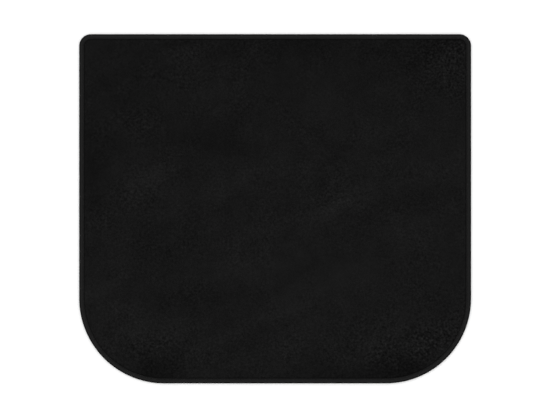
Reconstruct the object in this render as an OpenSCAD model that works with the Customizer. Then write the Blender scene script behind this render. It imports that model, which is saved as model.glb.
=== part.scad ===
// Chair mat with a velour face, a felt cushion, a studded grip backing
// and a folded binding tape sewn round its edge.
//
// The origin is on the floor, at the middle of the rectangle that holds the
// outline. +Z is up, and the two wide round corners are at the front, on -Y.
// All sizes are in millimetres.

/* [Outline] */
// Overall width, left to right
mat_w = 1000; // [800:10:1300]
// Overall depth, front to back
mat_d = 891; // [700:1:1200]
// Radius of the two wide corners at the front
front_r = 217; // [120:1:300]
// Radius of the two tight corners at the back
back_r = 30; // [26:1:60]

/* [Layers] */
// Height of the velour pile where it stands free
pile_h = 2; // [1.6:0.1:4]
// Height of the pile where the binding presses it flat
pressed_pile_h = 1.1; // [0.6:0.1:1.2]
// Thickness of the woven scrim that holds the pile's roots
scrim_t = 0.3; // [0.2:0.1:0.6]
// Thickness of the latex that locks the pile to the felt
latex_t = 0.3; // [0.2:0.1:0.6]
// Thickness of the needled felt cushion
felt_t = 1.8; // [1:0.1:4]
// Thickness of the grip backing, without its studs
backing_t = 1.4; // [1:0.1:3]

/* [Grip studs] */
// Height of a stud, which lifts the backing off the floor
stud_h = 1; // [0.9:0.1:2]
// Diameter of a stud where it meets the backing
stud_root_d = 12; // [6:0.5:18]
// Diameter of a stud where it meets the floor
stud_tip_d = 11; // [5:0.5:17]
// Distance between neighbouring studs
stud_pitch = 40; // [30:1:60]

/* [Binding] */
// Width of the binding tape over the face, from the outer edge inwards
binding_w = 13; // [8:0.5:14]
// Thickness of the binding tape
tape_t = 0.6; // [0.4:0.1:0.6]
// Outer radius of the tape's two folds along the edge
fold_r = 1.8; // [1.2:0.1:1.8]
// Distance from the outer edge to the seam
seam_inset = 10.1; // [6:0.1:12]
// Diameter of the sewing thread
thread_d = 0.6; // [0.4:0.1:0.6]
// Length of the lap where the tape's two ends meet
lap_l = 24; // [16:1:40]
// Place of the lap along the back edge, from the middle
lap_x = 0; // [-300:10:300]

/* [Hidden] */
$fn = 128;

// The seam stays on the tape whatever width the tape has.
seam_s = min(seam_inset, binding_w - 1.5);
// The layers stop where the inside of the tape starts to curve.
layer_inset = fold_r;
// A narrow gap parts the free pile from the tape's inner edge.
pile_gap = 0.4;
// The studs keep this far from the tape.
stud_margin = 8;
// Height that the lap adds to the tape. It stops short of the folded edge, so
// that the outline is even.
lap_t = 0.4;
// Distance by which the lap stops short of the fold and of the tape's inner edge.
lap_tip = 0.4;

backing_z = stud_h;
felt_z = backing_z + backing_t;
latex_z = felt_z + felt_t;
scrim_z = latex_z + latex_t;
pile_z = scrim_z + scrim_t;
tape_low = backing_z - tape_t;
tape_high = pile_z + pressed_pile_h + tape_t;

half_w = mat_w / 2;
half_d = mat_d / 2;
front_c = [half_w - front_r, front_r - half_d];
back_c = [half_w - back_r, half_d - back_r];

// True where a point lies inside the outline by at least margin m.
function within(x, y, m) =
    abs(x) <= half_w - m && abs(y) <= half_d - m
    && in_corner(abs(x) - front_c.x, front_c.y - y, front_r - m)
    && in_corner(abs(x) - back_c.x, y - back_c.y, back_r - m);

// dx and dy run outwards from a corner's centre. Only past it does the arc count.
function in_corner(dx, dy, r) = dx <= 0 || dy <= 0 || norm([dx, dy]) <= r;

// Places its children at both ends of the width.
module both_sides() {
    for (side = [0, 1]) mirror([side, 0, 0]) children();
}

// The mat's outline, drawn in by inset on all sides.
module outline(inset) {
    w = half_w - inset;
    d = half_d - inset;
    translate([-front_c.x, -d]) square([2 * front_c.x, 2 * d]);
    translate([-w, front_c.y]) square([2 * w, back_c.y - front_c.y]);
    translate([-back_c.x, front_c.y]) square([2 * back_c.x, d - front_c.y]);
    both_sides() {
        translate(front_c) circle(front_r - inset);
        translate(back_c) circle(back_r - inset);
    }
}

// A flat layer of the mat, from height z, t thick.
module layer(inset, z, t) {
    translate([0, 0, z]) linear_extrude(t) outline(inset);
}

// A 2D section, swept along a straight edge from point a, for length l.
// The section's x runs inwards from the edge, and its y is the height.
module along_edge(a, l, turn) {
    translate([a.x, a.y, 0]) rotate([90, 0, turn]) linear_extrude(l) children();
}

// The same section, turned round a corner of radius r.
module round_corner(centre, r, turn) {
    translate([centre.x, centre.y, 0]) rotate([0, 0, turn])
        rotate_extrude(angle = 90) translate([r, 0]) mirror([1, 0]) children();
}

// The same section, swept along the whole edge of the mat.
module round_edge() {
    along_edge([back_c.x, half_d], 2 * back_c.x, -90) children();
    along_edge([-front_c.x, -half_d], 2 * front_c.x, 90) children();
    along_edge([-half_w, back_c.y], back_c.y - front_c.y, 0) children();
    along_edge([half_w, front_c.y], back_c.y - front_c.y, 180) children();
    round_corner(back_c, back_r, 0) children();
    round_corner([-back_c.x, back_c.y], back_r, 90) children();
    round_corner([-front_c.x, front_c.y], front_r, 180) children();
    round_corner(front_c, front_r, 270) children();
}

// A strip of section that runs from low to high, with round outer corners.
module folded_strip(low, high, r, inset) {
    translate([inset + r, low]) square([binding_w - inset - r, high - low]);
    translate([inset, low + r]) square([r, high - low - 2 * r]);
    translate([inset + r, low + r]) circle(r);
    translate([inset + r, high - r]) circle(r);
}

// The section of the tape, folded over the edge of the layers.
module tape_section() {
    difference() {
        folded_strip(tape_low, tape_high, fold_r, 0);
        folded_strip(tape_low + tape_t, tape_high - tape_t, fold_r - tape_t, tape_t);
        translate([binding_w - fold_r, tape_low + tape_t])
            square([2 * fold_r, tape_high - tape_low - 2 * tape_t]);
    }
}

// The half-round section of a thread that lies on the tape. up is 1 or -1.
module thread_section(z, up) {
    translate([seam_s, z]) intersection() {
        circle(d = thread_d, $fn = 24);
        translate([-thread_d, up > 0 ? 0 : -thread_d]) square([2 * thread_d, thread_d]);
    }
}

// The block of space over the lap, from height low to high.
module over_lap(low, high) {
    translate([lap_x - lap_l / 2, half_d - binding_w - 1, low])
        cube([lap_l, binding_w + 2, high - low]);
}

// The velour: free pile inside the tape, and pressed pile under it.
module pile_face() {
    color([0.06, 0.06, 0.06]) {
        layer(binding_w + pile_gap, pile_z, pile_h);
        layer(layer_inset, pile_z, pressed_pile_h);
    }
}

module pile_scrim() {
    color([0.2, 0.2, 0.2]) layer(layer_inset, scrim_z, scrim_t);
}

module latex_coat() {
    color([0.75, 0.72, 0.64]) layer(layer_inset, latex_z, latex_t);
}

module felt_cushion() {
    color([0.35, 0.35, 0.36]) layer(layer_inset, felt_z, felt_t);
}

// The backing sheet with its studs, in staggered rows about the middle.
module grip_backing() {
    row_pitch = stud_pitch * sin(60);
    rows = floor(half_d / row_pitch);
    columns = ceil(half_w / stud_pitch);
    margin = binding_w + stud_margin + stud_root_d / 2;
    color([0.1, 0.1, 0.1]) {
        layer(layer_inset, backing_z, backing_t);
        for (row = [-rows:rows], column = [-columns:columns]) {
            x = (column + (row % 2 == 0 ? 0 : 0.5)) * stud_pitch;
            y = row * row_pitch;
            if (within(x, y, margin))
                translate([x, y, 0])
                    cylinder(h = stud_h, d1 = stud_tip_d, d2 = stud_root_d, $fn = 32);
        }
    }
}

// The tape, with its finishing end lapped over its starting end at the back.
module edge_binding() {
    color([0.09, 0.09, 0.09]) {
        round_edge() tape_section();
        translate([lap_x - lap_l / 2, half_d - binding_w + lap_tip, tape_high])
            cube([lap_l, binding_w - fold_r - 2 * lap_tip, lap_t]);
    }
}

// The upper thread of the lockstitch seam. It steps up on to the lap.
module needle_thread() {
    color([0.12, 0.12, 0.12]) {
        difference() {
            round_edge() thread_section(tape_high, 1);
            over_lap(tape_high - 1, tape_high + 1);
        }
        intersection() {
            along_edge([back_c.x, half_d], 2 * back_c.x, -90)
                thread_section(tape_high + lap_t, 1);
            over_lap(tape_high, tape_high + lap_t + 1);
        }
    }
}

// The lower thread of the seam, under the tape and clear of the floor.
module bobbin_thread() {
    color([0.12, 0.12, 0.12]) round_edge() thread_section(tape_low, -1);
}

pile_face();
pile_scrim();
latex_coat();
felt_cushion();
grip_backing();
edge_binding();
needle_thread();
bobbin_thread();
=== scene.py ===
# %% [markdown]
# A chair mat lies flat on the floor, and the chair rolls on it. This one is a sandwich: a face of
# short velour pile, a thin woven scrim and a coat of latex under it, a felt cushion, and a rubber
# backing with round studs. A tape is folded over the edge of all the layers and sewn down.
#
# The sandwich is already modelled to size, as plain solids. This file gives it its looks: it makes
# new meshes for what the eye sees, and materials for everything. All of it is in metres, with the
# origin on the floor under the middle of the mat, +Z up, and the wide round corners on -Y.

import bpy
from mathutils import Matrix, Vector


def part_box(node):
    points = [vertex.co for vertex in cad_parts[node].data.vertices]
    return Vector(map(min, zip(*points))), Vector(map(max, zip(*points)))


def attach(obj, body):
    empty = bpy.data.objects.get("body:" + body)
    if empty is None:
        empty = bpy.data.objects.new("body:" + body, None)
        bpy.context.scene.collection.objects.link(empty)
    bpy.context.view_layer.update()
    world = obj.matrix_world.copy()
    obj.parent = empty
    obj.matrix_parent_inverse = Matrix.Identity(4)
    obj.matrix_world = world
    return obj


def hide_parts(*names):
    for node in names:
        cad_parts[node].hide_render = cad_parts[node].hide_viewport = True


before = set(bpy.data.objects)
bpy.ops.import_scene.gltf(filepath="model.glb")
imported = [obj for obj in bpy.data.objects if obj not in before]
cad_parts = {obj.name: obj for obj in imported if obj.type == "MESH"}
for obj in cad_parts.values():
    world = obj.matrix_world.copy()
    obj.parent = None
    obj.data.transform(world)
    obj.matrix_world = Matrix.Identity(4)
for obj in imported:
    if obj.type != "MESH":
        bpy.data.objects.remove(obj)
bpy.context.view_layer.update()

import math
import random

import bpy
from mathutils import Vector, noise
from mathutils.geometry import delaunay_2d_cdt

MM = 0.001

# %% [markdown]
# The camera looks straight down, as at a cloth on a table. A long lens from a few metres up keeps
# the mat's thin sides out of sight. The camera stands a little to the left of the mat's middle and
# a little towards its back, so the mat sits low and to the right in the frame. The camera could be
# an orthographic one, but a long lens also frames the other views well.

# %% Camera
LENS_MM = 100
SENSOR_MM = 36
FRAME_WIDTH = 1.3618     # width of floor that the frame takes in
CAMERA_SHIFT = (-0.0220, 0.0109)

camera = bpy.data.objects.new("camera", bpy.data.cameras.new("camera"))
bpy.context.scene.collection.objects.link(camera)
camera.data.lens = LENS_MM
camera.data.sensor_width = SENSOR_MM
camera_height = FRAME_WIDTH * LENS_MM / SENSOR_MM
camera.location = (CAMERA_SHIFT[0], CAMERA_SHIFT[1], camera_height)
camera.data.clip_end = 100
bpy.context.scene.camera = camera
print("camera height", round(camera_height, 2), "m")

# %% [markdown]
# Every size comes from the solids, so that the new meshes fit them. A solid's box gives its width,
# depth and height. The corners of its mesh give the rest: where the straight part of an edge ends,
# and how high each step is.

# %% Sizes of the mat, measured on the solids
HAIR = 0.02 * MM


def corners(node):
    """The corners of a solid's mesh."""
    return [v.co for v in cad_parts[node].data.vertices]


def levels(values):
    """The different values in a list, lowest first."""
    return sorted({round(value, 5) for value in values})


tape_points = corners("edge_binding")
half_w, half_d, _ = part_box("edge_binding")[1]
front_straight = max(abs(p.x) for p in tape_points if p.y < HAIR - half_d)
back_straight = max(abs(p.x) for p in tape_points if p.y > half_d - HAIR)
front_r = half_w - front_straight
back_r = half_w - back_straight
print("mat", 2 * half_w, "by", 2 * half_d, "m, corner radii", round(front_r, 4), round(back_r, 4))

front_section = [p for p in tape_points if p.y < 0 and abs(p.x) < front_straight + HAIR]
binding_w = max(p.y for p in front_section) + half_d
tape_low, leg_top, leg_low, tape_high = levels(
    p.z for p in front_section if p.y > binding_w - half_d - HAIR)
tape_t = leg_top - tape_low
fold_r = min(p.z for p in front_section if p.y < HAIR - half_d) - tape_low
print("tape", binding_w, "wide,", round(tape_t, 5), "thick, from", tape_low, "to", tape_high)

lap_points = [p for p in tape_points if p.z > tape_high + HAIR]
lap_x = levels(p.x for p in lap_points)
lap_y = levels(p.y for p in lap_points)
lap_t = max(p.z for p in lap_points) - tape_high
thread_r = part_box("bobbin_thread")[1][2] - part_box("bobbin_thread")[0][2]
seam_s = half_w - (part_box("bobbin_thread")[1][0] - thread_r)
print("seam", round(seam_s, 4), "from the edge, thread radius", round(thread_r, 5))

pile_z, pressed_z, free_z = levels(p.z for p in corners("pile_face"))
pile_inset = half_w - max(p.x for p in corners("pile_face") if p.z > pressed_z + HAIR)
layer_inset = half_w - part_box("pile_face")[1][0]
print("pile from", pile_z, "to", free_z, "and", pressed_z, "where it is pressed")

# %% [markdown]
# Two helpers keep the materials and the node trees short. One turns a colour from the hex form that
# paint charts use into the linear numbers that Blender computes with. The other adds one node, sets
# its options, and fills or links its inputs. Most nodes give their result at their first output, so
# a node that is named as an input is linked from there.

# %% Helpers for colours and nodes


def colour(hex_text):
    """A colour from its sRGB hex form, as linear RGBA."""
    channels = [int(hex_text[i:i + 2], 16) / 255 for i in (1, 3, 5)]
    return [c / 12.92 if c <= 0.04045 else ((c + 0.055) / 1.055) ** 2.4 for c in channels] + [1]


def add(tree, kind, inputs=None, **settings):
    """Adds a node. An input is a value, an output, or a node, which stands for its first output."""
    node = tree.nodes.new(kind)
    for name, value in settings.items():
        setattr(node, name, value)
    for key, value in (inputs or {}).items():
        if isinstance(value, bpy.types.Node):
            value = value.outputs[0]
        if isinstance(value, bpy.types.NodeSocket):
            tree.links.new(value, node.inputs[key])
        else:
            node.inputs[key].default_value = value
    return node


# %% [markdown]
# Every finish here is a cloth or a rubber, so they share a start and an end. The start is a
# principled shader with its plain numbers, and the piece's own Object coordinates, in metres: a
# pattern that is 6 mm wide then has a scale of 1 / 0.006. The end is a colour between a dark and a
# light one, and a bump. What comes between is the pattern that each finish has of its own.

# %% Start and end of a material


def start_material(name, **numbers):
    """A new material, its node tree, its shader and its Object coordinates."""
    material = bpy.data.materials.new(name)
    material.use_nodes = True
    tree = material.node_tree
    shader = tree.nodes["Principled BSDF"]
    for socket, value in numbers.items():
        shader.inputs[socket.replace("_", " ")].default_value = value
    place = add(tree, "ShaderNodeTexCoord").outputs["Object"]
    return material, tree, shader, place


def end_material(tree, shader, dark, light, factor, height, depth):
    """Colours the shader by factor, from dark to light, and embosses it by height, depth metres."""
    mix = add(tree, "ShaderNodeMix", {0: factor, 6: colour(dark), 7: colour(light)},
              data_type="RGBA")
    bump = add(tree, "ShaderNodeBump", {"Height": height, "Distance": depth, "Strength": 1.0})
    tree.links.new(mix.outputs[2], shader.inputs["Base Color"])
    tree.links.new(bump.outputs[0], shader.inputs["Normal"])


# %% [markdown]
# The face is velour: polyester fibres, dyed black and needled up into a short cut pile. Light gets
# lost between the fibres, so it is darker than any smooth black, and has next to no gloss. What
# light comes back comes from the fibres' flanks, and so the pile looks lighter where it leans one
# way and darker where it leans the other. That light and dark is painted into the colour as painted
# sheen and shade, and the attribute "nap" carries it. "ruffle" says where the pile is disturbed and
# its grain is coarse, and a third attribute holds painted shade, which darkens what lies deep.
# Fibres are 0.05 mm thick and can't show at this distance, so the grain is drawn as the tufts that
# they gather into, 5 to 7 mm wide. Close up there are combed wisps too, 0.5 mm wide and drawn
# coarser than any fibre.

# %% Velour
BRUSH_ANGLE = math.radians(30)
TUFT = 6.8 * MM
SMALL_TUFT = 5.0 * MM
WISP = 0.5 * MM
WISP_STRETCH = 0.35      # a wisp's scale along the brushing, so it is three times as long as wide
MEAN_TONE = 0.494
NAP_CONTRAST = 0.12
CALM_GRAIN = 0.055       # the grain's contrast where the pile lies flat
RUFFLED_GRAIN = 0.5      # and how much a ruffled pile adds to it
WISP_CONTRAST = 0.9

velour, tree, shader, place = start_material(
    "velour_black_cut_pile", Roughness=0.95, Specular_IOR_Level=0.0,
    Sheen_Weight=0.03, Sheen_Roughness=0.5)
nap = add(tree, "ShaderNodeAttribute", attribute_name="nap").outputs["Fac"]
ruffle = add(tree, "ShaderNodeAttribute", attribute_name="ruffle").outputs["Fac"]
# Painted shade from the relief tree: darker on the pile's shoulder and between the tufts.
hollow_shade = add(tree, "ShaderNodeAttribute", attribute_name="hollow_shade").outputs["Fac"]
tufts = add(tree, "ShaderNodeTexNoise", {"Vector": place, "Scale": 1 / TUFT, "Detail": 1.0,
                                         "Roughness": 0.5})
small_tufts = add(tree, "ShaderNodeTexNoise", {"Vector": place, "Scale": 1 / SMALL_TUFT,
                                               "Detail": 0.0, "Roughness": 0.5})
grain = add(tree, "ShaderNodeMath", {0: tufts, 1: small_tufts}, operation="ADD")
grain = add(tree, "ShaderNodeMath", {0: grain, 1: 1.0}, operation="SUBTRACT")
contrast = add(tree, "ShaderNodeMath", {0: ruffle, 1: RUFFLED_GRAIN, 2: CALM_GRAIN},
               operation="MULTIPLY_ADD")
speckle = add(tree, "ShaderNodeMath", {0: grain, 1: contrast}, operation="MULTIPLY")
# Painted sheen and shade of the leaning nap, around the mean tone.
shade = add(tree, "ShaderNodeMath", {0: nap, 1: NAP_CONTRAST, 2: MEAN_TONE},
            operation="MULTIPLY_ADD")
tone = add(tree, "ShaderNodeMath", {0: shade, 1: speckle}, operation="ADD")
combed = add(tree, "ShaderNodeMapping", {"Vector": place, "Rotation": (0, 0, -BRUSH_ANGLE),
                                         "Scale": (WISP_STRETCH, 1, 1)})
wisps = add(tree, "ShaderNodeTexNoise", {"Vector": combed, "Scale": 1 / WISP, "Detail": 1.0,
                                         "Roughness": 0.7})
fine = add(tree, "ShaderNodeMath", {0: wisps, 1: WISP_CONTRAST, 2: -0.5 * WISP_CONTRAST},
           operation="MULTIPLY_ADD")
tone = add(tree, "ShaderNodeMath", {0: tone, 1: fine}, operation="ADD")
tone = add(tree, "ShaderNodeMath", {0: tone, 1: hollow_shade}, operation="SUBTRACT", use_clamp=True)
squared = add(tree, "ShaderNodeMath", {0: tone, 1: 2.0}, operation="POWER")
end_material(tree, shader, "#040404", "#282828", squared, wisps, 0.12 * MM)
print("made", velour.name)

# %% [markdown]
# The binding is a woven polyester tape with fine ribs across it. It has no pile to swallow the
# light, so it is a little lighter than the face. Light and shade are painted into its colour across
# its width: a painted highlight on top of the fold, and painted shade on the fold's flank and
# towards the seam. Two attributes tell the material where it is: "along" is the distance along the
# edge, so that the ribs follow the tape round the corners, and "across" is the distance in from the
# edge. Real ribs are about 0.8 mm apart; they are drawn 1.6 mm apart, or they would blur away.

# %% Binding tape
RIB = 1.6 * MM
BLOTCH = 6.0 * MM
BLOTCH_CONTRAST = 0.8
RIB_CONTRAST = 0.12
TAPE_LIGHT_AND_SHADE = [                 # (place across, from the outer edge to the woven edge; lightness)
    (0.0, 0.05), (0.2, 0.04),            # the flank of the fold, in painted shade
    (0.36, 1.0), (0.5, 0.85),            # the top, with a painted highlight
    (0.8, 0.5), (1.0, 0.3),              # painted shade at the seam and the woven edge beside the pile
]

binding_tape, tree, shader, place = start_material(
    "polyester_binding_tape_ribbed", Roughness=0.7, Specular_IOR_Level=0.05,
    Sheen_Weight=0.04, Sheen_Roughness=0.4)
along = add(tree, "ShaderNodeAttribute", attribute_name="along").outputs["Fac"]
angle = add(tree, "ShaderNodeMath", {0: along, 1: 2 * math.pi / RIB}, operation="MULTIPLY")
rib = add(tree, "ShaderNodeMath", {0: angle}, operation="SINE")
rib_height = add(tree, "ShaderNodeMath", {0: rib, 1: 0.5, 2: 0.5}, operation="MULTIPLY_ADD")
across = add(tree, "ShaderNodeAttribute", attribute_name="across").outputs["Fac"]
across = add(tree, "ShaderNodeMath", {0: across, 1: 1 / binding_w}, operation="MULTIPLY")
# Painted light and shade across the tape: a painted highlight on top of the fold, and painted shade
# on its flank and towards the seam.
tape_light_and_shade = add(tree, "ShaderNodeValToRGB", {"Fac": across})
stops = tape_light_and_shade.color_ramp.elements
stops.remove(stops[1])
for place_across, lightness in TAPE_LIGHT_AND_SHADE:
    stop = stops.new(place_across) if place_across else stops[0]
    stop.color = (lightness, lightness, lightness, 1)
blotches = add(tree, "ShaderNodeTexNoise", {"Vector": place, "Scale": 1 / BLOTCH, "Detail": 3.0})
uneven = add(tree, "ShaderNodeMath", {0: blotches, 1: BLOTCH_CONTRAST, 2: -0.5 * BLOTCH_CONTRAST},
             operation="MULTIPLY_ADD")
ribbed = add(tree, "ShaderNodeMath", {0: rib_height, 1: RIB_CONTRAST, 2: uneven},
             operation="MULTIPLY_ADD")
mixed = add(tree, "ShaderNodeMath", {0: tape_light_and_shade, 1: ribbed}, operation="ADD", use_clamp=True)
end_material(tree, shader, "#060606", "#1a1a1a", mixed, rib_height, 0.12 * MM)
print("made", binding_tape.name)

# %% [markdown]
# The thread is bonded polyester, two plies twisted together. It shines a little more than the tape,
# because its filaments lie side by side. The plies show as slanted bands 0.7 mm apart.

# %% Sewing thread
PLY = 0.7 * MM

sewing_thread, tree, shader, place = start_material(
    "polyester_sewing_thread_twisted", Roughness=0.5, Specular_IOR_Level=0.12,
    Sheen_Weight=0.05, Sheen_Roughness=0.4)
plies = add(tree, "ShaderNodeTexWave", {"Vector": place, "Scale": 1 / (3 * PLY), "Distortion": 0.6},
            wave_type="BANDS", bands_direction="DIAGONAL").outputs["Fac"]
end_material(tree, shader, "#0a0a0a", "#1b1b1b", plies, plies, 0.08 * MM)
print("made", sewing_thread.name)

# %% [markdown]
# The backing is a thermoplastic rubber, moulded on an etched steel plate. That leaves a fine, even
# stipple and a matt black that picks up dust and scuffs. The scuffs are wide, soft grey patches.

# %% Grip rubber
STIPPLE = 1.2 * MM
SCUFF = 90 * MM

grip_rubber, tree, shader, place = start_material(
    "thermoplastic_rubber_moulded_matt", Roughness=0.8, Specular_IOR_Level=0.3)
stipple = add(tree, "ShaderNodeTexVoronoi", {"Vector": place, "Scale": 1 / STIPPLE},
              feature="SMOOTH_F1")
scuffs = add(tree, "ShaderNodeTexNoise", {"Vector": place, "Scale": 1 / SCUFF, "Detail": 5.0,
                                          "Roughness": 0.7})
end_material(tree, shader, "#111111", "#262626", scuffs, stipple, 0.15 * MM)
print("made", grip_rubber.name)

# %% [markdown]
# Three layers are shut inside the mat. They get honest materials too, because someone may open the
# model up: grey needled felt of mixed recycled fibres, dried cream latex with pinholes, and a scrim
# that is an open plain weave of tape-like yarns about 2 mm wide.

# %% Felt, latex and scrim
FELT_LUMP = 4 * MM
PINHOLE = 3 * MM
YARN = 2 * MM
WAVE_SCALE = 0.314       # a Wave texture of this scale has bands 1 m wide

felt, tree, shader, place = start_material(
    "needled_felt_grey", Roughness=0.95, Specular_IOR_Level=0.1, Sheen_Weight=0.2)
lumps = add(tree, "ShaderNodeTexNoise", {"Vector": place, "Scale": 1 / FELT_LUMP, "Detail": 6.0,
                                         "Roughness": 0.75, "Distortion": 1.5})
end_material(tree, shader, "#3c3c3e", "#77777a", lumps, lumps, 0.4 * MM)

latex, tree, shader, place = start_material(
    "latex_coat_dried", Roughness=0.6, Specular_IOR_Level=0.4)
pinholes = add(tree, "ShaderNodeTexVoronoi", {"Vector": place, "Scale": 1 / PINHOLE}, feature="F1")
end_material(tree, shader, "#b0a488", "#cfc4a8", pinholes, pinholes, 0.2 * MM)

scrim, tree, shader, place = start_material(
    "polypropylene_scrim_plain_weave", Roughness=0.6, Specular_IOR_Level=0.3)
warp = add(tree, "ShaderNodeTexWave", {"Vector": place, "Scale": WAVE_SCALE / YARN},
           wave_type="BANDS", bands_direction="X").outputs["Fac"]
weft = add(tree, "ShaderNodeTexWave", {"Vector": place, "Scale": WAVE_SCALE / YARN},
           wave_type="BANDS", bands_direction="Y").outputs["Fac"]
weave = add(tree, "ShaderNodeMath", {0: warp, 1: weft}, operation="MULTIPLY")
end_material(tree, shader, "#2e2e2e", "#565656", weave, weave, 0.2 * MM)
print("made", felt.name, latex.name, scrim.name)

# %% Finish the solids that stay
for node, material in (("felt_cushion", felt), ("latex_coat", latex), ("pile_scrim", scrim),
                       ("grip_backing", grip_rubber)):
    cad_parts[node].material_slots[0].material = material
    print(node, "has", material.name)

# %% [markdown]
# Before the velour is meshed, its shading has to be settled. A nap is never even: feet, casters and
# a vacuum cleaner leave it leaning this way and that. On this mat most of it is brushed one way, up
# towards the right, which gives long soft streaks, and a smaller mottle lies over them. It could be
# painted by hand. Here noise makes the streaks and the mottle, and two lists of marks add the
# patches that stand out: one says where the nap is lighter or darker, the other where the pile is
# ruffled or lies smooth. A mark is a soft oval. Its place and size are fractions of the mat's half
# width, and its strength is above 0 for light or ruffled, and below 0 for dark or smooth.

# %% The nap's light and dark
# The nap's lean is real; the light and dark that it gives below is painted into the colour, as
# painted sheen and shade.
STREAK_LENGTH = 150 * MM
STREAK_WIDTH = 45 * MM
MOTTLE = 34 * MM
DRIFT = 60 * MM
STREAKS = 0.3            # how much each of these adds to the nap's light and dark
MOTTLING = 0.35
MARKS = 0.8
LIGHTENING = 0.1
BACK_SHADE = -0.35       # painted shade, darker towards the back edge,
BACK_START = 0.2         # from this fraction of half_d onwards
CALM = 0.27              # how disturbed the pile is without any mark
DRIFTING = 0.35
MOST_RUFFLED = 1.2
HAND_MARKS = [
    # x, y, half length, half width, turn in degrees, strength
    (0.18, 0.84, 0.26, 0.12, 0, -0.9),
    (0.66, 0.78, 0.14, 0.14, 0, -0.7),
    (0.90, 0.88, 0.16, 0.10, 0, -0.8),
    (-0.20, 0.84, 0.20, 0.08, 0, -0.4),
    (-0.46, 0.86, 0.10, 0.06, 0, -0.4),
    (-0.72, 0.60, 0.18, 0.14, -30, -0.6),
    (-0.94, 0.22, 0.10, 0.20, 0, -1.1),
    (-0.60, 0.34, 0.22, 0.08, 10, -0.5),
    (-0.18, 0.48, 0.14, 0.08, 60, -0.5),
    (-0.26, 0.32, 0.22, 0.08, -15, -0.6),
    (-0.46, 0.15, 0.08, 0.08, 0, -0.5),
    (0.32, 0.26, 0.14, 0.06, 20, -0.4),
    (0.70, 0.06, 0.18, 0.06, 0, -0.5),
    (-0.60, -0.16, 0.12, 0.10, 0, -0.6),
    (-0.42, -0.44, 0.24, 0.07, 5, -0.5),
    (0.84, -0.50, 0.08, 0.10, 0, -0.4),
    (-0.94, -0.24, 0.06, 0.10, 0, -0.4),
    (-0.60, -0.84, 0.13, 0.09, 0, -1.7),
    (0.66, -0.84, 0.18, 0.10, 0, -1.7),
    (0.30, -0.88, 0.24, 0.07, 0, -0.9),
    (-0.65, 0.14, 0.12, 0.10, 30, 0.7),
    (-0.24, 0.58, 0.20, 0.08, 5, 0.6),
    (0.22, 0.54, 0.12, 0.08, -30, 0.5),
    (0.48, 0.32, 0.08, 0.10, 20, 0.3),
    (0.80, 0.42, 0.12, 0.08, 20, 0.5),
    (0.84, 0.18, 0.10, 0.07, 0, 0.4),
    (-0.24, 0.12, 0.24, 0.05, 25, 0.5),
    (0.02, 0.24, 0.12, 0.06, 40, 0.4),
    (0.27, 0.00, 0.26, 0.05, 24, 0.6),
    (0.66, -0.12, 0.10, 0.09, 0, 0.6),
    (-0.20, -0.30, 0.22, 0.06, 22, 0.5),
    (0.12, -0.20, 0.20, 0.06, 20, 0.3),
    (0.00, -0.53, 0.24, 0.05, 26, 0.3),
    (0.46, -0.36, 0.28, 0.10, 10, 0.4),
    (-0.86, -0.50, 0.12, 0.20, 10, 0.6),
    (-0.62, -0.61, 0.14, 0.07, 0, 0.6),
    (0.18, -0.68, 0.20, 0.08, 10, 0.4),
    (0.27, 0.00, 0.15, 0.016, 20, 0.4),
    (0.03, -0.54, 0.14, 0.016, 16, 0.4),
]
RUFFLED = [
    # x, y, half length, half width, turn in degrees, strength
    (0.90, 0.76, 0.20, 0.20, 0, 0.8),
    (0.66, -0.70, 0.28, 0.11, 0, 0.75),
    (0.90, -0.62, 0.12, 0.12, 0, 0.5),
    (-0.70, -0.72, 0.22, 0.10, 0, 0.5),
    (-0.46, 0.78, 0.10, 0.08, 0, 0.4),
    (-0.17, 0.72, 0.12, 0.07, 70, 0.4),
    (-0.70, 0.45, 0.14, 0.08, 0, 0.2),
    (-0.68, 0.12, 0.10, 0.14, 0, 0.2),
    (-0.88, -0.06, 0.09, 0.08, 0, 0.3),
    (-0.20, -0.22, 0.14, 0.10, 0, 0.3),
    (0.26, 0.06, 0.18, 0.10, 0, 0.25),
    (0.72, -0.30, 0.10, 0.20, 0, 0.2),
    (0.00, -0.72, 0.40, 0.08, 0, 0.2),
    (0.20, -0.30, 0.46, 0.14, 0, -0.3),
    (0.25, 0.62, 0.34, 0.14, 0, -0.25),
    (-0.30, 0.34, 0.20, 0.10, 0, -0.2),
    (-0.90, 0.80, 0.12, 0.12, 0, -0.25),
    (-0.92, 0.22, 0.10, 0.14, 0, -0.25),
    (0.90, 0.44, 0.12, 0.14, 0, -0.25),
]


def oval(x, y, centre_x, centre_y, half_length, half_width, turn):
    """1 in the middle of a soft oval, fading to 0. The sizes are fractions of half_w."""
    c = math.cos(math.radians(turn))
    s = math.sin(math.radians(turn))
    dx = x / half_w - centre_x
    dy = y / half_w - centre_y
    u = (dx * c + dy * s) / half_length
    v = (dy * c - dx * s) / half_width
    return math.exp(-u * u - v * v)


def nap_at(x, y):
    """How light the nap looks at a point, near -1 to 1."""
    c = math.cos(BRUSH_ANGLE)
    s = math.sin(BRUSH_ANGLE)
    u = (x * c + y * s) / STREAK_LENGTH
    v = (y * c - x * s) / STREAK_WIDTH
    streaks = noise.fractal(Vector((u, v, 3.7)), 1.0, 2.0, 3)
    mottle = noise.noise(Vector((x / MOTTLE, y / MOTTLE, 5.3)))
    back = BACK_SHADE * max(0.0, y / half_d - BACK_START)
    marks = sum(m[5] * oval(x, y, *m[:5]) for m in HAND_MARKS)
    return STREAKS * streaks + MOTTLING * mottle + back + MARKS * marks + LIGHTENING


def ruffle_at(x, y):
    """How disturbed the pile is at a point, from 0 to MOST_RUFFLED."""
    drift = CALM + DRIFTING * noise.noise(Vector((x / DRIFT, y / DRIFT, 8.1)))
    marks = sum(m[5] * oval(x, y, *m[:5]) for m in RUFFLED)
    return min(MOST_RUFFLED, max(0.0, drift + marks))


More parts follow.
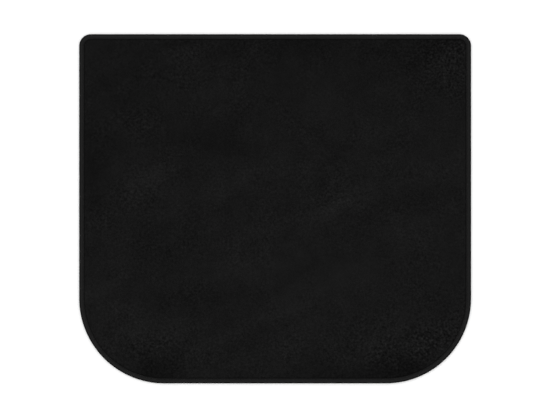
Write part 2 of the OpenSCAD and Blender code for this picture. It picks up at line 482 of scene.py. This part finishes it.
print("nap in the middle", round(nap_at(0, 0), 2), "and ruffle", round(ruffle_at(0, 0), 2))

# %% [markdown]
# The velour's outline is straight runs and round corners. The same shape comes back at many
# distances from the edge, so one function gives its points at any inset. The mesh inside could be a
# plain square grid, but a grid shows as lines when it is pushed up and down. Loose points about
# 3.4 mm apart, joined by a Delaunay triangulation, show no direction at all.

# %% The velour's flat mesh
POINT_GAP = 3.4 * MM
SHOULDER_W = 3.0 * MM
SHOULDER_STEPS = 4
SCATTER = 0.28           # how far a loose point strays from its row, as a share of the gap
random.seed(11)


def outline(inset, gap):
    """Points along the mat's outline at this inset, anticlockwise, about gap apart."""
    arcs = [(front_straight, front_r - half_d, front_r, -90),
            (back_straight, half_d - back_r, back_r, 0),
            (-back_straight, half_d - back_r, back_r, 90),
            (-front_straight, front_r - half_d, front_r, 180)]
    bends = []
    for centre_x, centre_y, radius, start in arcs:
        steps = max(3, round(math.radians(90) * (radius - inset) / gap))
        for i in range(steps + 1):
            a = math.radians(start + 90 * i / steps)
            bends.append(Vector((centre_x + (radius - inset) * math.cos(a),
                                 centre_y + (radius - inset) * math.sin(a))))
    points = []
    for here, after in zip(bends, bends[1:] + bends[:1]):
        pieces = max(1, round((after - here).length / gap))
        points += [here.lerp(after, i / pieces) for i in range(pieces)]
    return points


def room_inside(x, y, inset):
    """How far a point is inside the outline at this inset, less than 0 outside."""
    room = min(half_w - abs(x), half_d - abs(y))
    for straight, radius, centre_y in ((front_straight, front_r, front_r - half_d),
                                       (back_straight, back_r, half_d - back_r)):
        dx = abs(x) - straight
        dy = (y - centre_y) * (1 if centre_y > 0 else -1)
        if dx > 0 and dy > 0:
            room = min(room, radius - math.hypot(dx, dy))
    return room - inset


rings = []       # each is (inset, height), from the middle of the face outwards
for i in range(SHOULDER_STEPS + 1):
    a = math.radians(90) * i / SHOULDER_STEPS
    rings.append((pile_inset + SHOULDER_W * (1 - math.sin(a)),
                  pressed_z + (free_z - pressed_z) * math.cos(a)))
flat_inset = rings[0][0]
row_gap = POINT_GAP * math.sin(math.radians(60))
loose = []
for row in range(math.ceil(-half_d / row_gap), math.floor(half_d / row_gap) + 1):
    for column in range(math.ceil(-half_w / POINT_GAP), math.floor(half_w / POINT_GAP) + 1):
        x = (column + row % 2 / 2 + random.uniform(-SCATTER, SCATTER)) * POINT_GAP
        y = (row + random.uniform(-SCATTER, SCATTER)) * row_gap
        if room_inside(x, y, flat_inset) > 0.6 * POINT_GAP:
            loose.append(Vector((x, y)))
border = outline(flat_inset, POINT_GAP)
print(len(loose), "loose points and", len(border), "on the border")

# %% Join the velour's points into one closed mesh


def fill(loop, inside=()):
    """Triangulates a loop and the points inside it: (points, faces that look up)."""
    found = delaunay_2d_cdt(list(loop) + list(inside), [], [list(range(len(loop)))], 1, 1e-7)
    return found[0], found[2]


points, faces = fill(border, loose)
vertices = [(p.x, p.y, free_z) for p in points]
ring_count = len(border)
rim = list(range(ring_count))
assert all((points[i] - border[i]).length < HAIR for i in rim)

steps = rings[1:] + [(layer_inset, pressed_z), (layer_inset, pile_z)]
for inset, height in steps:
    start = len(vertices)
    pull = inset - flat_inset
    for p in border:
        # Each ring keeps the border's count of points, so the rings join up as squares.
        nearest = room_inside(p.x, p.y, 0)
        step = 0.01 * MM
        slope = Vector((room_inside(p.x + step, p.y, 0) - nearest,
                        room_inside(p.x, p.y + step, 0) - nearest)).normalized()
        moved = p + slope * pull
        vertices.append((moved.x, moved.y, height))
    new_rim = list(range(start, start + ring_count))
    for i in range(ring_count):
        j = (i + 1) % ring_count
        faces.append([rim[i], new_rim[i], new_rim[j], rim[j]])
    rim = new_rim
under = [Vector(vertices[i][:2]) for i in rim]
_, under_faces = fill(under)
faces += [[rim[i] for i in reversed(face)] for face in under_faces]

velour_flat = bpy.data.meshes.new("velour_flat")
velour_flat.from_pydata(vertices, [], [list(face) for face in faces])
velour_flat.validate()
nap_layer = velour_flat.attributes.new("nap", "FLOAT", "POINT")
ruffle_layer = velour_flat.attributes.new("ruffle", "FLOAT", "POINT")
nap_layer.data.foreach_set("value", [nap_at(x, y) for x, y, _ in vertices])
ruffle_layer.data.foreach_set("value", [ruffle_at(x, y) for x, y, _ in vertices])
print("velour mesh has", len(vertices), "points and", len(velour_flat.polygons), "faces")

# %% [markdown]
# The rest of the shapes repeat or follow a path, and Geometry Nodes are made for that. Each tree
# below has named inputs for its sizes, so it can be tried out in the modifier panel. Two helpers
# start and end a tree, and a third runs it and keeps the result as a plain mesh with no modifier,
# because the export takes plain meshes. The last one gives the uneven push that cloth needs.

# %% Helpers for Geometry Nodes


def start_tree(name, sizes):
    """A new tree with a geometry input and named sizes: (tree, its inputs, by name)."""
    tree = bpy.data.node_groups.new(name, "GeometryNodeTree")
    panel = tree.interface
    panel.new_socket("Geometry", in_out="OUTPUT", socket_type="NodeSocketGeometry")
    panel.new_socket("Geometry", in_out="INPUT", socket_type="NodeSocketGeometry")
    for label, value in sizes.items():
        kind = "NodeSocketInt" if isinstance(value, int) else "NodeSocketFloat"
        panel.new_socket(label, in_out="INPUT", socket_type=kind).default_value = value
    return tree, tree.nodes.new("NodeGroupInput").outputs


def end_tree(tree, geometry, material):
    """Realises the instances, sets the material and gives the result out."""
    real = add(tree, "GeometryNodeRealizeInstances", {"Geometry": geometry})
    done = add(tree, "GeometryNodeSetMaterial", {"Geometry": real, "Material": material})
    add(tree, "NodeGroupOutput", {"Geometry": done})


def run_tree(name, tree, base, sizes):
    """Runs a tree on a mesh and returns the result as a plain object."""
    helper = bpy.data.objects.new(name + "_base", base)
    bpy.context.scene.collection.objects.link(helper)
    modifier = helper.modifiers.new("tree", "NODES")
    modifier.node_group = tree
    for item in tree.interface.items_tree:
        if item.in_out == "INPUT" and item.name in sizes:
            modifier[item.identifier] = sizes[item.name]
    depsgraph = bpy.context.evaluated_depsgraph_get()
    mesh = bpy.data.meshes.new_from_object(
        helper.evaluated_get(depsgraph), preserve_all_data_layers=True, depsgraph=depsgraph)
    bpy.data.objects.remove(helper)
    mesh.name = name
    piece = bpy.data.objects.new(name, mesh)
    bpy.context.scene.collection.objects.link(piece)
    print(name, "has", len(mesh.vertices), "points and", len(mesh.polygons), "faces")
    return piece


def wobble(tree, position, size, seed, detail):
    """Noise around 0, about -0.5 to 0.5, with lumps of this size."""
    scale = add(tree, "ShaderNodeMath", {0: 1.0, 1: size}, operation="DIVIDE")
    found = add(tree, "ShaderNodeTexNoise", {"Vector": position, "W": seed, "Scale": scale,
                                             "Detail": detail}, noise_dimensions="4D")
    return add(tree, "ShaderNodeMath", {0: found, 1: 0.5}, operation="SUBTRACT")


# %% [markdown]
# The first tree gives the velour its relief. A calm tuft stands a few tenths of a millimetre above
# its neighbours, and a ruffled one more, and the whole sheet swells and dips gently over a hand's
# width. It could be a displacement in the material, but the mesh itself would then be flat. Along
# the tape the pile's edge is uneven, as cut pile is. The tree also stores painted shade, more on the
# pile's shoulder and between the tufts, which the material takes off the velour's colour.

# %% Relief of the velour
RELIEF = {"Tuft size": 6.5 * MM, "Tuft height": 0.28 * MM, "Calm height": 1.4,
          "Ruffled height": 2.4, "Swell size": 110 * MM, "Swell height": 0.12 * MM,
          "Ragged edge": 0.5 * MM, "Shoulder shade": 0.32, "Tuft shade": -0.12,
          "Low": pressed_z, "High": free_z, "Seed": 5}

tree, inputs = start_tree("Velour relief", RELIEF)
position = add(tree, "GeometryNodeInputPosition")
height = add(tree, "ShaderNodeSeparateXYZ", {0: position}).outputs["Z"]
risen = add(tree, "ShaderNodeMapRange", {"Value": height, "From Min": inputs["Low"],
                                         "From Max": inputs["High"]})
fallen = add(tree, "ShaderNodeMath", {0: 1.0, 1: risen}, operation="SUBTRACT")
ruffle = add(tree, "GeometryNodeInputNamedAttribute", {"Name": "ruffle"})
tuft = wobble(tree, position, inputs["Tuft size"], inputs["Seed"], 1.5)
swell = wobble(tree, position, inputs["Swell size"], inputs["Seed"], 0.0)

share = add(tree, "ShaderNodeMath", {
    0: ruffle, 1: inputs["Ruffled height"], 2: inputs["Calm height"]}, operation="MULTIPLY_ADD")
tuft_height = add(tree, "ShaderNodeMath", {0: inputs["Tuft height"], 1: share},
                  operation="MULTIPLY")
lift = add(tree, "ShaderNodeMath", {0: swell, 1: inputs["Swell height"]}, operation="MULTIPLY")
lift = add(tree, "ShaderNodeMath", {0: tuft, 1: tuft_height, 2: lift}, operation="MULTIPLY_ADD")
lift = add(tree, "ShaderNodeMath", {0: lift, 1: risen}, operation="MULTIPLY")
rise = add(tree, "ShaderNodeCombineXYZ", {"Z": lift})

# Halfway up the shoulder, where risen and fallen are both 0.5, the edge is most ragged.
edge = add(tree, "ShaderNodeMath", {0: risen, 1: fallen}, operation="MULTIPLY")
edge = add(tree, "ShaderNodeMath", {0: edge, 1: 4.0}, operation="MULTIPLY")
ragged = add(tree, "ShaderNodeMath", {0: tuft, 1: inputs["Ragged edge"]}, operation="MULTIPLY")
ragged = add(tree, "ShaderNodeMath", {0: edge, 1: ragged}, operation="MULTIPLY")
sideways = add(tree, "ShaderNodeVectorMath", {
    0: add(tree, "GeometryNodeInputNormal"), 1: (1, 1, 0)}, operation="MULTIPLY")
push = add(tree, "ShaderNodeVectorMath", {0: sideways, "Scale": ragged}, operation="SCALE")
move = add(tree, "ShaderNodeVectorMath", {0: push, 1: rise}, operation="ADD")

# Painted shade: more on the pile's shoulder and between the low tufts, taken off the velour's
# colour.
hollow_shade = add(tree, "ShaderNodeMath", {0: tuft, 1: inputs["Tuft shade"]}, operation="MULTIPLY")
hollow_shade = add(tree, "ShaderNodeMath", {0: fallen, 1: inputs["Shoulder shade"], 2: hollow_shade},
             operation="MULTIPLY_ADD")
marked = add(tree, "GeometryNodeStoreNamedAttribute", {
    "Geometry": inputs["Geometry"], "Name": "hollow_shade", "Value": hollow_shade}, data_type="FLOAT",
    domain="POINT")
moved = add(tree, "GeometryNodeSetPosition", {"Geometry": marked, "Offset": move})
smooth = add(tree, "GeometryNodeSetShadeSmooth", {"Geometry": moved})
end_tree(tree, smooth, velour)
velour_face = run_tree("velour_face", tree, velour_flat, RELIEF)

# %% [markdown]
# The tape and the seam both follow the mat's edge, so their trees share a node group that draws
# it: a rectangle with filleted corners, drawn in by an inset. It is the same outline as above, but
# made with nodes, where its sizes stay open to change.

# %% The edge as a node group
EDGE = {"Width": 2.0 * half_w, "Depth": 2.0 * half_d, "Front radius": front_r,
        "Back radius": back_r, "Inset": 0.0}
ARC_POINTS = 64

edge_group, inputs = start_tree("Mat edge", EDGE)
width = add(edge_group, "ShaderNodeMath", {0: inputs["Inset"], 1: -2.0, 2: inputs["Width"]},
            operation="MULTIPLY_ADD")
depth = add(edge_group, "ShaderNodeMath", {0: inputs["Inset"], 1: -2.0, 2: inputs["Depth"]},
            operation="MULTIPLY_ADD")
rectangle = add(edge_group, "GeometryNodeCurvePrimitiveQuadrilateral", {
    "Width": width, "Height": depth}, mode="RECTANGLE")
position = add(edge_group, "GeometryNodeInputPosition")
y = add(edge_group, "ShaderNodeSeparateXYZ", {0: position}).outputs["Y"]
at_back = add(edge_group, "ShaderNodeMath", {0: y, 1: 0.0}, operation="GREATER_THAN")
wider = add(edge_group, "ShaderNodeMath", {0: inputs["Back radius"], 1: inputs["Front radius"]},
            operation="SUBTRACT")
radius = add(edge_group, "ShaderNodeMath", {0: at_back, 1: wider, 2: inputs["Front radius"]},
             operation="MULTIPLY_ADD")
radius = add(edge_group, "ShaderNodeMath", {0: radius, 1: inputs["Inset"]}, operation="SUBTRACT")
rounded = add(edge_group, "GeometryNodeFilletCurve", {
    "Curve": rectangle, "Count": ARC_POINTS, "Radius": radius}, mode="POLY")
level = add(edge_group, "GeometryNodeSetCurveNormal", {"Curve": rounded}, mode="Z_UP")
add(edge_group, "NodeGroupOutput", {"Geometry": level})


def length_of_edge(inset):
    """The distance round the mat at this inset."""
    sides = 2 * (front_straight + back_straight) + 2 * (2 * half_d - front_r - back_r)
    return sides + math.pi * (front_r + back_r - 2 * inset)


print("edge", round(length_of_edge(0), 3), "m round")

# %% [markdown]
# The seam is a lockstitch. Its upper thread shows as a row of short stitches, each one bowed up
# between the two holes that it dives into. The stitch is modelled once, as a bent tube of a few
# dozen faces, and a tree sets a copy between each pair of holes. The lower thread makes the same
# row on the underside, turned over.

# %% One stitch
STITCH_PITCH = 3.8 * MM
STITCHES = round(length_of_edge(seam_s) / STITCH_PITCH)
pitch = length_of_edge(seam_s) / STITCHES
SEAM_DIP = 0.28 * MM     # how far the seam pulls the tape down
STITCH_REACH = 0.47      # half a stitch's length, as a share of the pitch
BEDDED = 0.35            # how deep the thread beds into the tape, as a share of its radius
TUBE_SIDES = 6
TUBE_RINGS = 8


def tube(points, radii, sides):
    """A closed tube along points in the XZ plane: (vertices, faces)."""
    vertices = []
    for i, (x, z) in enumerate(points):
        x0, z0 = points[max(0, i - 1)]
        x1, z1 = points[min(len(points) - 1, i + 1)]
        tilt = math.atan2(z1 - z0, x1 - x0)
        for k in range(sides):
            a = 2 * math.pi * k / sides
            out = radii[i] * math.sin(a)
            vertices.append((x - out * math.sin(tilt), radii[i] * math.cos(a),
                             z + out * math.cos(tilt)))
    faces = [[i * sides + k, i * sides + (k + 1) % sides, (i + 1) * sides + (k + 1) % sides,
              (i + 1) * sides + k] for i in range(len(points) - 1) for k in range(sides)]
    faces.append(list(reversed(range(sides))))
    faces.append([(len(points) - 1) * sides + k for k in range(sides)])
    return vertices, faces


bow = []
swelling = []
for i in range(TUBE_RINGS):
    u = 2 * i / (TUBE_RINGS - 1) - 1
    rise = (1 - u ** 4) * (thread_r + SEAM_DIP) - SEAM_DIP
    bow.append((u * pitch * STITCH_REACH, rise - BEDDED * thread_r))
    swelling.append(thread_r * (1 - 0.3 * u ** 4))
stitch_points, stitch_faces = tube(bow, swelling, TUBE_SIDES)
stitch = bpy.data.meshes.new("stitch")
stitch.from_pydata(stitch_points, [], stitch_faces)
print(STITCHES, "stitches of", round(pitch / MM, 2), "mm, each with", len(stitch.polygons), "faces")

# %% The row of stitches
BOBBIN_LIFT = 0.12 * MM  # keeps the lower stitches clear of the floor
SEAM = {**EDGE, "Inset": seam_s, "Stitches": STITCHES, "Height": tape_high, "Turn over": 0.0,
        "Lap from": lap_x[0], "Lap to": lap_x[-1], "Lap step": lap_t}

tree, inputs = start_tree("Lockstitch row", SEAM)
line = add(tree, "GeometryNodeGroup", {key: inputs[key] for key in EDGE}, node_tree=edge_group)
twice = add(tree, "ShaderNodeMath", {0: inputs["Stitches"], 1: 2.0}, operation="MULTIPLY")
marks = add(tree, "GeometryNodeCurveToPoints", {"Curve": line, "Count": twice}, mode="COUNT")
odd = add(tree, "ShaderNodeMath", {0: add(tree, "GeometryNodeInputIndex"), 1: 2.0},
          operation="MODULO")
is_hole = add(tree, "ShaderNodeMath", {0: odd, 1: 0.5}, operation="LESS_THAN")
middles = add(tree, "GeometryNodeDeleteGeometry", {"Geometry": marks, "Selection": is_hole},
              domain="POINT")
xyz = add(tree, "ShaderNodeSeparateXYZ", {0: add(tree, "GeometryNodeInputPosition")}).outputs
at_back = add(tree, "ShaderNodeMath", {0: xyz["Y"], 1: 0.0}, operation="GREATER_THAN")
past_start = add(tree, "ShaderNodeMath", {0: xyz["X"], 1: inputs["Lap from"]},
                 operation="GREATER_THAN")
before_end = add(tree, "ShaderNodeMath", {0: xyz["X"], 1: inputs["Lap to"]}, operation="LESS_THAN")
over_lap = add(tree, "ShaderNodeMath", {0: past_start, 1: before_end}, operation="MULTIPLY")
over_lap = add(tree, "ShaderNodeMath", {0: over_lap, 1: at_back}, operation="MULTIPLY")
height = add(tree, "ShaderNodeMath", {0: over_lap, 1: inputs["Lap step"], 2: inputs["Height"]},
             operation="MULTIPLY_ADD")
lifted = add(tree, "GeometryNodeSetPosition", {
    "Geometry": middles, "Offset": add(tree, "ShaderNodeCombineXYZ", {"Z": height})})
heading = add(tree, "FunctionNodeAlignRotationToVector", {"Vector": marks.outputs["Tangent"]},
              axis="X", pivot_axis="Z")
half_turn = add(tree, "ShaderNodeMath", {0: inputs["Turn over"], 1: math.pi}, operation="MULTIPLY")
placed = add(tree, "FunctionNodeRotateRotation", {
    "Rotation": heading, "Rotate By": add(tree, "ShaderNodeCombineXYZ", {"X": half_turn})},
    rotation_space="LOCAL")
row = add(tree, "GeometryNodeInstanceOnPoints", {
    "Points": lifted, "Instance": inputs["Geometry"], "Rotation": placed})
smooth = add(tree, "GeometryNodeSetShadeSmooth", {"Geometry": row})
end_tree(tree, smooth, sewing_thread)
needle_stitches = run_tree("needle_stitches", tree, stitch.copy(), SEAM)
bobbin_stitches = run_tree("bobbin_stitches", tree, stitch, {
    **SEAM, "Height": tape_low + BOBBIN_LIFT, "Turn over": 1.0, "Lap step": 0.0})

# %% [markdown]
# The tape is swept: its folded section is drawn once, and the tree carries it round the edge. The
# section isn't flat. The tape puffs up between the fold and the seam, dips where the seam pulls it
# down, and its woven edge lifts a little. The tree then presses a dimple into it at each needle
# hole, puckers it slightly, and gathers it at the two tight corners, where a tape has too much
# cloth to lie flat.

# %% Section of the folded tape
FOLD_STEPS = 3
flat_w = binding_w - fold_r
seam_place = (seam_s - fold_r) / flat_w
UPPER = [(0.0, -0.2), (0.15, 0.10), (0.38, 0.26), (0.6, 0.08), (seam_place, -SEAM_DIP / MM),
         (0.87, -0.02), (0.965, 0.08)]     # place across, from fold to woven edge; height in mm


def fold(centre_z, radius, start, steps):
    """Points round one fold of the tape, as (inset, height)."""
    return [(fold_r - radius * math.cos(math.radians(start + 90 * i / steps)),
             centre_z + radius * math.sin(math.radians(start + 90 * i / steps)))
            for i in range(steps + 1)]


upper = [(fold_r + across * flat_w, tape_high + puff * MM) for across, puff in UPPER]
lower = [(fold_r + across * flat_w, tape_low) for across in (0.96, seam_place)]
section = lower + fold(tape_low + fold_r, fold_r, -90, FOLD_STEPS)
section += fold(tape_high - fold_r, fold_r, 0, FOLD_STEPS)[:-1] + upper
outside = len(section)
section += [(binding_w, tape_high - 0.5 * tape_t), (binding_w - 0.2 * MM, leg_low)]
section += list(reversed(fold(tape_high - fold_r, fold_r - tape_t, 0, 2)))
section += list(reversed(fold(tape_low + fold_r, fold_r - tape_t, -90, 2)))
section += [(binding_w - 0.2 * MM, leg_top), (binding_w, tape_low + 0.5 * tape_t)]

tape_section = bpy.data.meshes.new("tape_section")
tape_section.from_pydata([(x, z, 0) for x, z in section],
                         [(i, (i + 1) % len(section)) for i in range(len(section))], [])
across_layer = tape_section.attributes.new("across", "FLOAT", "POINT")
across_layer.data.foreach_set("value", [x for x, _ in section])
outer_layer = tape_section.attributes.new("outer", "FLOAT", "POINT")
outer_layer.data.foreach_set("value", [float(i < outside) for i in range(len(section))])
print("section of", len(section), "points")

# %% Sweep the tape round the edge
RINGS_PER_STITCH = 4
TAPE = {"Rings": STITCHES * RINGS_PER_STITCH, "Stitches": STITCHES, "Seam inset": seam_s,
        "Dimple": 0.22 * MM, "Dimple size": 0.9 * MM, "Pucker": 0.16 * MM,
        "Pucker size": 14 * MM, "Gather": 0.14 * MM, "Gather size": 5.5 * MM, "Seed": 3, **EDGE}

tree, inputs = start_tree("Folded tape", TAPE)
path = add(tree, "GeometryNodeGroup", {key: inputs[key] for key in EDGE}, node_tree=edge_group)
path = add(tree, "GeometryNodeResampleCurve", {"Curve": path, "Count": inputs["Rings"]},
           mode="COUNT")
run = add(tree, "GeometryNodeSplineParameter").outputs["Length"]
path = add(tree, "GeometryNodeStoreNamedAttribute", {
    "Geometry": path, "Name": "along", "Value": run}, data_type="FLOAT", domain="POINT")
path = add(tree, "GeometryNodeSetCurveNormal", {"Curve": path}, mode="Z_UP")
# The sweep puts the section's X outwards and its Y downwards, so the section is turned half round.
profile = add(tree, "GeometryNodeMeshToCurve", {"Mesh": inputs["Geometry"]})
profile = add(tree, "GeometryNodeTransform", {"Geometry": profile, "Rotation": (0, 0, math.pi)})
swept = add(tree, "GeometryNodeCurveToMesh", {"Curve": path, "Profile Curve": profile})
swept = add(tree, "GeometryNodeFlipFaces", {"Mesh": swept})

# A dimple: a soft pit round each needle hole, as deep as exp(-distance squared) says.
seam_line = add(tree, "GeometryNodeGroup", {
    **{key: inputs[key] for key in EDGE}, "Inset": inputs["Seam inset"]}, node_tree=edge_group)
holes = add(tree, "GeometryNodeCurveToPoints", {"Curve": seam_line, "Count": inputs["Stitches"]},
            mode="COUNT")
position = add(tree, "GeometryNodeInputPosition")
flat = add(tree, "ShaderNodeVectorMath", {0: position, 1: (1, 1, 0)}, operation="MULTIPLY")
away = add(tree, "GeometryNodeProximity", {"Target": holes, "Source Position": flat},
           target_element="POINTS").outputs["Distance"]
away = add(tree, "ShaderNodeMath", {0: away, 1: inputs["Dimple size"]}, operation="DIVIDE")
near = add(tree, "ShaderNodeMath", {0: away, 1: away}, operation="MULTIPLY")
near = add(tree, "ShaderNodeMath", {0: near, 1: -1.0}, operation="MULTIPLY")
near = add(tree, "ShaderNodeMath", {0: near}, operation="EXPONENT")
dimple = add(tree, "ShaderNodeMath", {0: inputs["Dimple"], 1: -1.0}, operation="MULTIPLY")
dimple = add(tree, "ShaderNodeMath", {0: near, 1: dimple}, operation="MULTIPLY")

# A pucker: slow, small waves all the way round.
pucker = wobble(tree, position, inputs["Pucker size"], inputs["Seed"], 1.0)
pucker = add(tree, "ShaderNodeMath", {0: pucker, 1: inputs["Pucker"]}, operation="MULTIPLY")

# Gathers: waves along the tape at the two back corners, deeper towards the woven edge.
across = add(tree, "GeometryNodeInputNamedAttribute", {"Name": "across"})
along = add(tree, "GeometryNodeInputNamedAttribute", {"Name": "along"})
xyz = add(tree, "ShaderNodeSeparateXYZ", {0: position}).outputs
sideways = add(tree, "ShaderNodeMath", {0: xyz["X"]}, operation="ABSOLUTE")
fullness = add(tree, "ShaderNodeMath", {0: across, 1: 1 / binding_w}, operation="MULTIPLY")
fullness = add(tree, "ShaderNodeMath", {0: fullness, 1: inputs["Gather"]}, operation="MULTIPLY")
for size, reached in (("Width", sideways), ("Depth", xyz["Y"])):
    half = add(tree, "ShaderNodeMath", {0: inputs[size], 1: 0.5}, operation="MULTIPLY")
    bend = add(tree, "ShaderNodeMath", {0: half, 1: inputs["Back radius"]}, operation="SUBTRACT")
    past_bend = add(tree, "ShaderNodeMath", {0: reached, 1: bend}, operation="GREATER_THAN")
    fullness = add(tree, "ShaderNodeMath", {0: fullness, 1: past_bend}, operation="MULTIPLY")
turns = add(tree, "ShaderNodeMath", {0: 2 * math.pi, 1: inputs["Gather size"]}, operation="DIVIDE")
waves = add(tree, "ShaderNodeMath", {0: along, 1: turns}, operation="MULTIPLY")
waves = add(tree, "ShaderNodeMath", {0: waves}, operation="SINE")
gathers = add(tree, "ShaderNodeMath", {0: waves, 1: fullness}, operation="MULTIPLY")

# The relief acts on the outer side only, and fades out on the fold's flank.
relief = add(tree, "ShaderNodeMath", {0: pucker, 1: gathers}, operation="ADD")
relief = add(tree, "ShaderNodeMath", {0: dimple, 1: relief}, operation="ADD")
outer = add(tree, "GeometryNodeInputNamedAttribute", {"Name": "outer"})
inside_fold = add(tree, "ShaderNodeMath", {0: across, 1: 1 / (2 * fold_r)}, operation="MULTIPLY",
                  use_clamp=True)
share = add(tree, "ShaderNodeMath", {0: outer, 1: inside_fold}, operation="MULTIPLY")
relief = add(tree, "ShaderNodeMath", {0: relief, 1: share}, operation="MULTIPLY")
move = add(tree, "ShaderNodeVectorMath", {
    0: add(tree, "GeometryNodeInputNormal"), "Scale": relief}, operation="SCALE")
formed = add(tree, "GeometryNodeSetPosition", {"Geometry": swept, "Offset": move})
smooth = add(tree, "GeometryNodeSetShadeSmooth", {"Geometry": formed})
end_tree(tree, smooth, binding_tape)
folded_tape = run_tree("folded_tape", tree, tape_section, TAPE)
lows = [round(min(v.co[i] for v in folded_tape.data.vertices), 5) for i in range(3)]
highs = [round(max(v.co[i] for v in folded_tape.data.vertices), 5) for i in range(3)]
print("tape from", lows, "to", highs)

# %% [markdown]
# The tape's two ends meet at the middle of the back edge, where the finishing end laps over the
# starting end and the seam runs across both. It is a short, thin pad that follows the same puffed
# section, one tape thickness higher, with soft ends. A grid of points makes it: each point knows its
# place across and along the lap.

# %% The lap
LAP_ROWS = 36
LAP_COLUMNS = 26
LAP_SINK = 0.05 * MM     # the pad starts this far inside the tape
LAP_HEM = 0.12 * MM      # and is this thick at its rim


def puff_at(inset):
    """Height of the tape's upper side above tape_high, at this inset."""
    across = (inset - fold_r) / flat_w
    for (a, low), (b, high) in zip(UPPER, UPPER[1:]):
        if a <= across <= b:
            return (low + (high - low) * (across - a) / (b - a)) * MM
    return 0.0


lap_inset = (half_d - lap_y[-1], half_d - lap_y[0])
pad = []
for is_under in (False, True):
    for i in range(LAP_ROWS + 1):
        u = 2 * i / LAP_ROWS - 1
        for j in range(LAP_COLUMNS + 1):
            v = 2 * j / LAP_COLUMNS - 1
            inset = sum(lap_inset) / 2 + v * (lap_inset[1] - lap_inset[0]) / 2
            x = sum((lap_x[0], lap_x[-1])) / 2 + u * (lap_x[-1] - lap_x[0]) / 2
            roundness = max(0.0, (1 - abs(u) ** 14) * (1 - abs(v) ** 10))
            z = tape_high + puff_at(inset) - LAP_SINK
            z += -LAP_HEM if is_under else lap_t * roundness ** 0.5
            pad.append((x, half_d - inset, z))
row_points = LAP_COLUMNS + 1
under_start = (LAP_ROWS + 1) * row_points
pad_faces = []
for i in range(LAP_ROWS):
    for j in range(LAP_COLUMNS):
        a = i * row_points + j
        quad = [a, a + row_points, a + row_points + 1, a + 1]
        pad_faces.append(list(reversed(quad)))
        pad_faces.append([under_start + k for k in quad])
pad_rim = list(range(row_points))
pad_rim += [i * row_points + LAP_COLUMNS for i in range(1, LAP_ROWS + 1)]
pad_rim += [LAP_ROWS * row_points + j for j in range(LAP_COLUMNS - 1, -1, -1)]
pad_rim += [i * row_points for i in range(LAP_ROWS - 1, 0, -1)]
for a, b in zip(pad_rim, pad_rim[1:] + pad_rim[:1]):
    pad_faces.append([a, b, under_start + b, under_start + a])
lap_mesh = bpy.data.meshes.new("tape_lap")
lap_mesh.from_pydata(pad, [], pad_faces)
along_layer = lap_mesh.attributes.new("along", "FLOAT", "POINT")
along_layer.data.foreach_set("value", [x for x, _, _ in pad])
across_layer = lap_mesh.attributes.new("across", "FLOAT", "POINT")
across_layer.data.foreach_set("value", [half_d - y for _, y, _ in pad])
lap_mesh.shade_smooth()
lap_mesh.materials.append(binding_tape)
tape_lap = bpy.data.objects.new("tape_lap", lap_mesh)
bpy.context.scene.collection.objects.link(tape_lap)
print("lap of", len(lap_mesh.polygons), "faces")

# %% [markdown]
# Now each new piece is tied to the model: it rides on the mat's one body, and the solid that it
# stands for is hidden.

# %% Tie the pieces to the model
for piece, node, finish in ((velour_face, "pile_face", "velour"),
                            (folded_tape, "edge_binding", "binding_tape"),
                            (tape_lap, "edge_binding", "binding_tape"),
                            (needle_stitches, "needle_thread", "sewing_thread"),
                            (bobbin_stitches, "bobbin_thread", "sewing_thread")):
    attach(piece, "root")
    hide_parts(node)

# %% [markdown]
# The floor is a plain pale sweep, so large that its edge is never seen, under a soft white sky and
# one big lamp overhead. Black cloth needs a lot of light before its nap shows, and in that much
# light a pale floor is nearly pure white.

# %% Floor and light
FLOOR_SIZE = 120
floor_mesh = bpy.data.meshes.new("floor")
reach = FLOOR_SIZE / 2
floor_mesh.from_pydata([(-reach, -reach, 0), (reach, -reach, 0), (reach, reach, 0),
                        (-reach, reach, 0)], [], [(0, 1, 2, 3)])
floor = bpy.data.objects.new("floor", floor_mesh)
bpy.context.scene.collection.objects.link(floor)
pale, _, shader, _ = start_material("floor_paint_pale", Roughness=1.0, Specular_IOR_Level=0.0)
shader.inputs["Base Color"].default_value = colour("#f4f4f4")
floor_mesh.materials.append(pale)

world = bpy.data.worlds.new("studio")
bpy.context.scene.world = world
world.use_nodes = True
world.node_tree.nodes["Background"].inputs["Color"].default_value = colour("#ffffff")
world.node_tree.nodes["Background"].inputs["Strength"].default_value = 1.12

lamp = bpy.data.objects.new("soft_lamp", bpy.data.lights.new("soft_lamp", "AREA"))
bpy.context.scene.collection.objects.link(lamp)
lamp.data.shape = "DISK"
lamp.data.size = 3.0
lamp.data.energy = 40
lamp.location = (-1.2, 1.6, 5.0)
lamp.rotation_euler = (Vector((0, 0, 0)) - lamp.location).to_track_quat("-Z", "Y").to_euler()
bpy.context.scene.view_settings.view_transform = "Standard"
print("floor", FLOOR_SIZE, "m wide, lamp", lamp.data.energy, "W")
